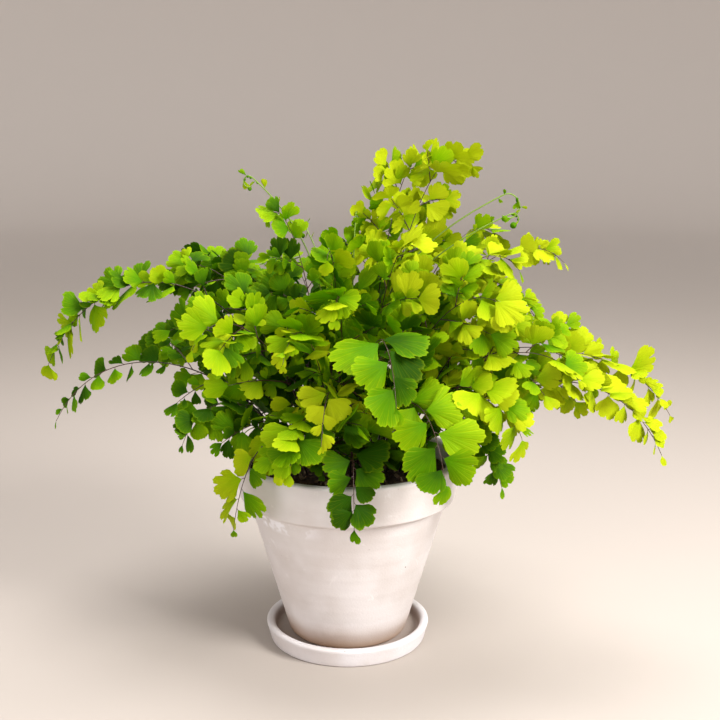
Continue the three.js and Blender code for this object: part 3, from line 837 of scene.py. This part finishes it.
# Blades of one lobe count. Each is a grid of angle and distance from its root. Its surface bows down
# outwards, cups at its sides, folds at the notches and waves. The underside meets it all along the rim.
def growBlades(pile, leaves, lobes):
    side = np.linspace(-1, 1, lobes * blade["columns"] + 1)
    share = blade["rows"]
    rows, columns = len(share), len(side)
    across, outward, face = (axis[:, None, None] for axis in bladeAxes(leaves))
    seed = leaves["seed"][:, None, None]
    size = (leaves["length"] * (1 - blade["stalk"]))[:, None, None]
    fan = np.radians(blade["halfAngle"] * leaves["fan"][:, None, None] + spread(seed + 5, 5))
    skewed = side + spread(seed + 3, blade["skew"]) * (1 - side ** 2)
    angle = fan * skewed * (1 - blade["narrow"] + blade["narrow"] * share[:, None])
    rim = bladeRim(seed, side, lobes)
    radius = size * rim * share[:, None]
    fold = 1 - np.abs(np.sin(math.pi * lobes * (side + 1) / 2))
    lift = -blade["bow"] * (1 + spread(seed + 8, 0.7)) * radius * share[:, None]
    cup = blade["cup"] * spread(seed + 6, 1.6) * side ** 2
    lift = lift + size * share[:, None] * (cup - blade["foldDepth"] * fold)
    lift = lift + blade["wave"] * size * share[:, None] ** 2 * np.sin(blade["waves"] * angle + seed)
    root = (leaves["at"] + leaves["outward"] * (leaves["length"] * blade["stalk"])[:, None])[:, None, None]
    sideways = (radius * np.sin(angle))[..., None]
    forwards = (radius * np.cos(angle))[..., None]
    upper = root + across * sideways + outward * forwards + face * lift[..., None]
    depth = blade["thickness"] * (1.1 - share[:-1, None, None])
    lower = upper[:, :-1, 1:-1] - face * depth
    count = len(upper)
    points = np.concatenate([root[:, :, 0], upper.reshape(count, -1, 3), lower.reshape(count, -1, 3)], 1)

    top = 1 + np.arange(rows * columns).reshape(rows, columns)
    under = top.copy()
    inner = (rows - 1, columns - 2)
    under[:-1, 1:-1] = 1 + rows * columns + np.arange(math.prod(inner)).reshape(inner)
    start = points.shape[1] * np.arange(count)[:, None, None]
    faces = [np.stack([top[:-1, :-1], top[:-1, 1:], top[1:, 1:], top[1:, :-1]], -1)]
    faces.append(np.stack([under[:-1, :-1], under[1:, :-1], under[1:, 1:], under[:-1, 1:]], -1))
    pole = np.zeros(columns - 1, int)
    tips = [np.stack([pole, top[0, 1:], top[0, :-1]], -1), np.stack([pole, under[0, :-1], under[0, 1:]], -1)]
    quads = np.concatenate([batch.reshape(-1, 4) for batch in faces])

    angles = np.concatenate([[0], np.tile(side, rows), np.tile(side[1:-1], rows - 1)])
    shares = np.concatenate([[0], share.repeat(columns), share[:-1].repeat(columns - 2)])
    for tone in range(len(leafTones)):
        chosen = leaves["tone"] == tone
        if chosen.any():
            total = chosen.sum()
            batches = [quads + start[:total], np.concatenate(tips) + start[:total]]
            youth = leaves["youth"][chosen].repeat(points.shape[1])
            veins = dict(veinSide=np.tile(angles, total), veinShare=np.tile(shares, total))
            pile.grow(points[chosen], batches, 1 + tone, youth=youth, **veins)


# A leaflet's plain outline, to find what it would cross.
def outlineOf(at, outward, facing, length):
    across = unit(np.cross(outward, facing))
    face = np.cross(across, outward)
    angle = np.radians(blade["halfAngle"]) * np.linspace(-1, 1, 7)[:, None]
    reach = length * np.array([0.62, 0.9, 0.96, 1, 0.96, 0.9, 0.62])[:, None]
    rim = at + across * reach * np.sin(angle) + outward * reach * np.cos(angle) - face * 0.1 * reach
    return np.concatenate([[at + outward * length * 0.2], rim])


outlineFaces = [(0, place + 1, place) for place in range(1, 7)]


# What leaflets keep clear of: the pot, every stem, and the leaflets placed before.
class Crowd:
    def __init__(self):
        self.fixed = []
        self.trees = []
        self.middles = np.zeros((fern["mostLeaflets"], 3))
        self.sizes = np.zeros(fern["mostLeaflets"])

    def addFixed(self, points, faces):
        self.fixed.append(BVHTree.FromPolygons(points.tolist(), faces))

    def takes(self, points, length):
        tree = BVHTree.FromPolygons(points.tolist(), outlineFaces)
        if any(tree.overlap(other) for other in self.fixed):
            return False
        middle = points.mean(0)
        count = len(self.trees)
        far = np.linalg.norm(self.middles[:count] - middle, axis=1)
        near = np.nonzero(far < 0.6 * (self.sizes[:count] + length))[0]
        if any(tree.overlap(self.trees[place]) for place in near):
            return False
        self.middles[count] = middle
        self.sizes[count] = length
        self.trees.append(tree)
        return True


# A leaflet at the first of several tilts where it crosses nothing, or none. Its side is 1 or -1 beside the
# stem, 0 at its tip, and None in the row over it. Small leaflets are tilted more freely than large ones.
def placeLeaflet(crowd, seat, side, length, seed, sweep):
    at, along, left, above = seat
    crest = side is None
    away = unit(at * (1, 1, 0))
    droop = -fern["crestLift"] if crest else fern["droop"]
    loose = 1 - 0.6 * ease(length, *fern["stiff"])
    length = length * (1 + spread(seed + 17, fern["unlike"]))
    for attempt in range(fern["tries"]):
        wander = 1 + attempt % fern["fullTries"]
        draws = seed + attempt
        tiltMost, rollMost = (free * loose + more * wander for free, more in fern["spreads"])
        tilt = math.radians(droop + spread(draws, tiltMost))
        roll = math.radians((side or 0) * fern["shingle"] + spread(draws + 40, rollMost))
        turn = math.radians(sweep - 2 * wander + spread(draws + 80, 8 + wander))
        swing = math.radians(spread(draws + 80, fern["crestSwing"]))
        ahead = left * side * math.cos(turn) + along * math.sin(turn) if side else along
        ahead = left * math.sin(swing) + along * math.cos(swing) if crest else ahead
        outward = unit(ahead * math.cos(tilt) - above * math.sin(tilt))
        facing = above + fern["lookUp"] * upward + fern["lookOut"] * away
        facing = facing * math.cos(roll) + np.cross(outward, facing) * math.sin(roll)
        size = length * (1 if attempt < fern["fullTries"] else fern["shrunk"])
        if crowd.takes(outlineOf(at, outward, facing, size), size):
            return dict(at=at, outward=outward, facing=facing, length=size, seed=seed)
    return None


# The stems of one frond: its midline, then its branches with the side of the midline that they leave.
def stemsOf(row, seed):
    azimuth, leaflet, count = row[0], row[5], row[6]
    midline = midlineOf(*row[:5])
    arms = []
    high = branches["high"] if count == 2 and row[1] < branches["longReach"] else []
    top = branches["top"] if row[2] > branches["tall"] else []
    for place, (step, side, length) in enumerate(branches["main"][:count] + branches["low"] + high + top):
        share = fern["start"] + step * fern["branchStep"]
        at, along, left, above = frameAt(midline, share, upperSide(azimuth, share))
        length = leaflet * (length + spread(seed + place, 0.2))
        sideways, forwards = branches["outward"]
        outward = unit(left * sideways * side + along * forwards)
        middle = at + outward * length / 2 + upward * length * branches["lift"]
        end = at + outward * length - upward * length * branches["sag"]
        arms.append(dict(line=bezier([at, middle, end], 40), upper=above, side=side))
    mains = count + len(high)
    return dict(midline=midline, arms=arms, azimuth=azimuth, leaflet=leaflet, mains=mains, youth=row[7])


# Every leaflet of a frond as [seat, side, length, seed, share of the frond]: six on each branch, and the
# midline's own on alternate sides. Those get small towards the tip, and their spacing with them. The row
# over each stem comes last.
def seatsOf(stems, seed):
    seats = []
    crests = []
    midline = stems["midline"]
    grown = ease(stems["leaflet"], *fern["large"])
    leaflet = stems["leaflet"] * (fern["finer"] + (1 - fern["finer"]) * grown)
    for number, arm in enumerate(stems["arms"]):
        for place, (share, size) in enumerate(zip(branches["shares"], branches["sizes"])):
            side = (0 if share > 0.9 else 1 - 2 * (place % 2)) * arm["side"]
            seat = frameAt(arm["line"], share, arm["upper"])
            seats.append([seat, side, leaflet * size, seed + 10 * number + place, 0.5 + 0.2 * share])
        for place, share in enumerate(branches["crest"]):
            seat = frameAt(arm["line"], share, arm["upper"])
            length = leaflet * fern["crestSize"] * 0.8
            crests.append([seat, None, length, seed + 500 + 10 * number + place, 0.5 + 0.2 * share])
    start = fern["start"] + stems["mains"] * fern["branchStep"]
    leafy = fern["tipShare"] - start
    grid = np.linspace(0, 1, 200)
    sizes = 1 - fern["taper"] * grid ** fern["fade"]
    steps = np.cumsum(sizes ** -0.7) / len(grid)
    pitch = fern["sparse"].get(stems["azimuth"], fern["pitch"])
    count = int(leafy * midline.length / (leaflet * pitch) * steps[-1])
    for place in range(count):
        spot = np.interp(place / count, steps / steps[-1], grid)
        size = np.interp(spot, grid, sizes)
        share = start + (leafy - 0.02) * spot
        side = 1 - 2 * ((place + stems["mains"]) % 2)
        seat = frameAt(midline, share, upperSide(stems["azimuth"], share))
        seats.append([seat, side, leaflet * size, seed + 50 + place, share])
        if share < fern["crestEnd"]:
            crests.append([seat, None, leaflet * size * fern["crestSize"], seed + 550 + place, share])
    seat = frameAt(midline, fern["tipShare"], upperSide(stems["azimuth"], 1))
    seats.append([seat, 0, leaflet * (1 - fern["taper"]), seed + 49, 1])
    return seats if stems["azimuth"] in fern["sparse"] else seats + crests


leafTones = [ # name, light that shines through it
    ["leafShade", paint(80, 150, 0)],
    ["leafGreen", paint(151, 204, 2)],
    ["leafFresh", paint(200, 212, 22)],
]
leafColours = [paint(42, 82, 4), paint(86, 138, 2), paint(142, 178, 4), paint(194, 207, 24)]


# A leaflet: its green by age, fan veins that fork twice on the way to the rim, a paler rim, a soft sheen,
# and light that shines through.
def leafFinish(name, glow):
    finish = Finish(name)
    side = finish.attribute("veinSide")
    share = finish.attribute("veinShare")
    mottle = finish.noise(240, 3, 0.6)

    def veinsOf(count, low, high):
        line = 1 - (side * (count * math.pi / 2)).sine().size().between(0, 0.5)
        return line * share.between(low, high)

    veins = 0.5 * veinsOf(7, 0, 0.1) + 0.7 * veinsOf(14, 0.3, 0.45) + 0.8 * veinsOf(28, 0.6, 0.75)
    # For frond leaflets, youth also holds painted light, lighter to the right, and painted shade deep in the
    # crown.
    age = finish.attribute("youth") + 0.16 * (mottle - 0.5) + 0.34 * (share - 0.62)
    colour = finish.mix(age.between(0, 0.36), leafColours[0], leafColours[1])
    colour = finish.mix(age.between(0.3, 0.7), colour, leafColours[2])
    colour = finish.mix(age.between(0.6, 1), colour, leafColours[3])
    colour = finish.mix(veins * (0.08 + 0.2 * age.between(0.1, 0.7)), colour, paint(200, 216, 20))
    colour = finish.mix(share.between(0.9, 1) * 0.2, colour, paint(186, 208, 16))
    relief = finish.bump(0.8 * mottle - 0.8 * veins, 0.5, 0.0003)
    skin = finish.shader(colour, 0.46 + 0.16 * mottle, relief, 0.05)
    through = finish.add("BsdfTranslucent", None, {"Color": glow})
    mixed = finish.add("MixShader", None, {0: 0.4, 1: skin, 2: through})
    return finish.close(mixed)


# A stem by its youth: the first colour at its foot, the second further up, the third at its finest ends.
def stemFinish(name, colours, middle, end, mottle, grain, rough):
    finish = Finish(name)
    youth = finish.attribute("youth") + mottle * (finish.noise(grain, 2) - 0.5)
    colour = finish.mix(youth.between(*middle), paint(*colours[0]), paint(*colours[1]))
    colour = finish.mix(youth.between(*end), colour, paint(*colours[2]))
    return finish.close(finish.shader(colour, rough))


ageingAndPaintedLight = dict(
    tip=0.34, # how much fresher a frond is at its tip than at its foot
    even=0.72, # share of the frond where that adds nothing
    # Painted light and shade: lighter to the right, towards the key lamp, and darker deep in the crown.
    paintedLight=0.0005, # how much fresher each millimetre to the right
    paintedCrownShade=0.16, # how much darker deep in the crown
    crown=(30, 105), # distances that count as deep and as outside
    unlike=0.28,
    tones=(0.34, 0.66), # where the second and third begin
)


# A leaflet's youth by that of its frond and by its place, with painted light and shade: lighter to the
# right, towards the key lamp, and darker deep in the crown, where shade falls.
def youthWithPaintedLight(stems, seat, share, seed):
    x, y, z = seat[0]
    paintedCrownShade = 1 - ease(math.hypot(x, y) + 0.5 * (z - potTop), *ageingAndPaintedLight["crown"])
    youth = stems["youth"] + ageingAndPaintedLight["tip"] * (share - ageingAndPaintedLight["even"]) + ageingAndPaintedLight["paintedLight"] * x
    return youth - ageingAndPaintedLight["paintedCrownShade"] * paintedCrownShade + spread(seed + 21, ageingAndPaintedLight["unlike"])


# Leaflets as one array for each of their values.
def tableOf(leaves):
    table = {key: np.array([leaf[key] for leaf in leaves]) for key in leaves[0]}
    table["tone"] = np.digitize(table["youth"], ageingAndPaintedLight["tones"])
    lobes = np.round(table["length"] / blade["lobeWidth"] + spread(table["seed"] + 2, 0.8))
    table["lobes"] = np.clip(lobes, blade["lobes"][0], blade["lobes"][-1]).astype(int)
    narrowing = blade["smallFan"] * ease(blade["small"] - table["length"], 0, 7)
    table["fan"] = 1 - narrowing + spread(table["seed"] + 12, 0.16)
    return table


# Leaflets with their hair-thin stalks, which bend from the stem into the blade.
def growLeaflets(pile, table):
    stalk = (table["length"] * blade["stalk"])[:, None]
    start = table["at"]
    end = start + table["outward"] * stalk * 1.15
    middle = (start + end) / 2 + 0.12 * stalk * upward
    radii = fern["hair"] * np.array([1.2, 1.0, 0.9])
    growTubes(pile, np.stack([start, middle, end], 1), radii, table["facing"][:, None], 4, 0, youth=0.8)
    for lobes in blade["lobes"]:
        chosen = table["lobes"] == lobes
        if chosen.any():
            growBlades(pile, {key: rows[chosen] for key, rows in table.items()}, lobes)


def growFrond(number, stems, crowd, seats, finishes):
    leaves = []
    for seat, side, length, seed, share in seats:
        sweep = fern["sweep"] + fern["tipSweep"] * ease(share, 0.7, 1)
        leaf = placeLeaflet(crowd, seat, side, length, seed, sweep)
        if leaf:
            leaves.append(dict(leaf, youth=youthWithPaintedLight(stems, seat, share, seed)))
    pile = Pile("youth", "veinSide", "veinShare")
    shares = np.linspace(0, fern["tipShare"], 60)
    upper = upperSide(stems["azimuth"], shares)[None]
    radii = fern["stipe"] * (1 - 0.8 * shares ** 0.6)
    youth = 0.9 * shares[None] ** 1.5
    growTubes(pile, stems["midline"].at(shares)[None], radii[None], upper, 8, 0, youth=youth)
    for arm in stems["arms"]:
        shares = np.linspace(0, 0.97, 12)
        radii = fern["twig"] * (1.15 - 0.55 * shares)
        growTubes(pile, arm["line"].at(shares)[None], radii[None], arm["upper"], 6, 0, youth=0.55)
    growLeaflets(pile, tableOf(leaves))
    piece = pile.piece(f"frond_{number:02d}_leafy", finishes, 55)
    settle(piece, "frond", f"frond_{number:02d}")
    return len(leaves)


# A stem's line as a thin three-sided tube that leaflets keep clear of.
def growGuard(guard, line, low, count):
    points = line.at(np.linspace(low, fern["tipShare"], count))[None]
    growTubes(guard, points, np.full((1, count), fern["guard"]), np.array([0.3, 0.2, 1.0]), 3, 0)


def makeFern():
    blackish = [(26, 15, 14), (58, 30, 18), (96, 86, 30)]
    stem = stemFinish("wiryStem", blackish, (0.1, 0.7), (0.75, 1.1), 0.2, 180, 0.42)
    finishes = [stem] + [leafFinish(*tone) for tone in leafTones]
    crowd = Crowd()
    for name in ("washed_pot", "crumbly_soil"):
        mesh = bpy.data.objects[name].data
        points = np.array([corner.co for corner in mesh.vertices]) / mm
        crowd.addFixed(points, [tuple(face.vertices) for face in mesh.polygons])
    fronds = [stemsOf(row, 100 * place) for place, row in enumerate(frondRows)]
    guard = Pile()
    for stems in fronds:
        growGuard(guard, stems["midline"], 0.1, 24)
        for arm in stems["arms"]:
            growGuard(guard, arm["line"], 0.06, 8)
    crowd.addFixed(np.concatenate(guard.points), guard.faces)
    total = 0
    for place, stems in enumerate(fronds):
        total += growFrond(place + 1, stems, crowd, seatsOf(stems, 100 * place), finishes)
    print("fern:", total, "leaflets")
    return crowd, finishes


crowd, leafFinishes = makeFern()


# Croziers: young fronds that are still curled

crozierRows = [ # azimuth, reach, height, radius of the curl, radius of its bud, open leaflets, their size
    [178, 50, 249, 4, 1.1, 6, 5.2],
    [70, 12, 230, 4.5, 1.2, 6, 5.0],
    [1, 81, 240, 8, 1.7, 5, 3.8],
    [7, 86, 229, 4, 1.8, 6, 3.8],
    [116, 58, 221, 5, 1.4, 6, 4.6],
]

crozier = dict(
    bend=4.6, # power of the height that a stalk leans by
    steps=4, # of the curl
    stepAngle=56,
    shrinking=0.12, # of the curl, each step
    stalk=0.54, # radius at its foot
    fineEnd=0.42, # how much thinner it is at its end
    softening=15, # points that the join of stalk and curl is averaged over
    knobs=5, # rolled leaflets on the curl
    knobSize=(0.5, 0.9),
    leafStep=0.028, # share of the stalk between two open leaflets
)


# A tall thin stalk that leans out more and more, and then winds down and inwards in a shrinking circle.
def crozierLine(azimuth, reach, height, curl):
    foot = footOf(azimuth, reach * 0.5, height)
    top = polar(azimuth, reach, height)
    outward = polar(azimuth, 1, 0)
    share = np.linspace(0, 1, 300)[:, None]
    stalk = foot + (top - foot) * share ** crozier["bend"]
    stalk[:, 2] = foot[2] + (height - foot[2]) * share[:, 0]
    step = np.linspace(0, crozier["steps"], 80)[1:, None]
    radius = curl * (1 - crozier["shrinking"] * step)
    angle = step * math.radians(crozier["stepAngle"])
    ring = top - upward * curl + outward * radius * np.sin(angle) + upward * radius * np.cos(angle)
    dense = Line(np.concatenate([stalk, ring])).at(np.linspace(0, 1, 420))
    window = np.hanning(crozier["softening"] + 2)[1:-1]
    half = crozier["softening"] // 2
    padded = np.pad(dense, ((half, half), (0, 0)), "edge")
    window /= window.sum()
    return Line(np.stack([np.convolve(column, window, "valid") for column in padded.T], -1))


# Rolled leaflets as little knobs: short tubes that swell and close.
def growKnobs(pile, at, heading, size, youth):
    swell = np.array([0.25, 0.8, 1.0, 0.92, 0.6, 0.15])
    along = np.linspace(0, 1, len(swell))[None, :, None]
    centres = at[:, None] + heading[:, None] * along * size[:, None, None] * 2.1
    growTubes(pile, centres, size[:, None] * swell, np.array([0.31, 0.57, 0.76]), 9, 1, youth=youth[:, None])


def makeCrozier(number, row, finishes):
    draw = np.random.default_rng(70 + number)
    line = crozierLine(*row[:4])
    bud, openCount, size = row[4:]
    pile = Pile("youth", "veinSide", "veinShare")
    side = polar(row[0] + 90, 1, 0)
    shares = np.concatenate([np.linspace(0, 0.84, 40), np.linspace(0.85, 1, 44)])
    radii = crozier["stalk"] * (1 - crozier["fineEnd"] * shares)
    growTubes(pile, line.at(shares)[None], radii[None], side, 8, 0, youth=shares[None])

    count = crozier["knobs"]
    share = np.append(draw.uniform(0.9, 0.98, count), 0.995)
    sizes = np.append(draw.uniform(*crozier["knobSize"], count), bud)
    heading = draw.normal(0, 0.7, (count + 1, 3)) - upward
    growKnobs(pile, line.at(share), unit(heading), sizes, draw.uniform(0.35, 0.7, count + 1))

    leaves = []
    for place in range(openCount):
        share = 0.97 - crozier["leafStep"] * place + draw.uniform(-0.01, 0.01)
        at, along, left, above = frameAt(line, share, side)
        seat = (at, along, unit(left - 1.1 * upward), above)
        length = size * draw.uniform(0.8, 1.2)
        leaf = placeLeaflet(crowd, seat, 1 - 2 * (place % 2), length, 900 * number + place, fern["sweep"])
        if leaf:
            leaves.append(dict(leaf, youth=draw.uniform(0.45, 0.85)))
    growLeaflets(pile, tableOf(leaves))
    piece = pile.piece(f"crozier_{number:02d}_curl", finishes, 55)
    settle(piece, "young_frond", f"crozier_{number:02d}")


greenish = [(58, 40, 22), (92, 116, 26), (112, 142, 34)]
youngStem = stemFinish("youngStem", greenish, (0.25, 0.6), (0.6, 1), 0.1, 160, 0.45)
crozierFinishes = [youngStem] + leafFinishes[1:]
for place, row in enumerate(crozierRows):
    makeCrozier(place + 1, row, crozierFinishes)
print("croziers")


sizes = dict(cad=[list(corner) for corner in cadBox])
sizes["visual"] = [list(corner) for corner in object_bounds()]
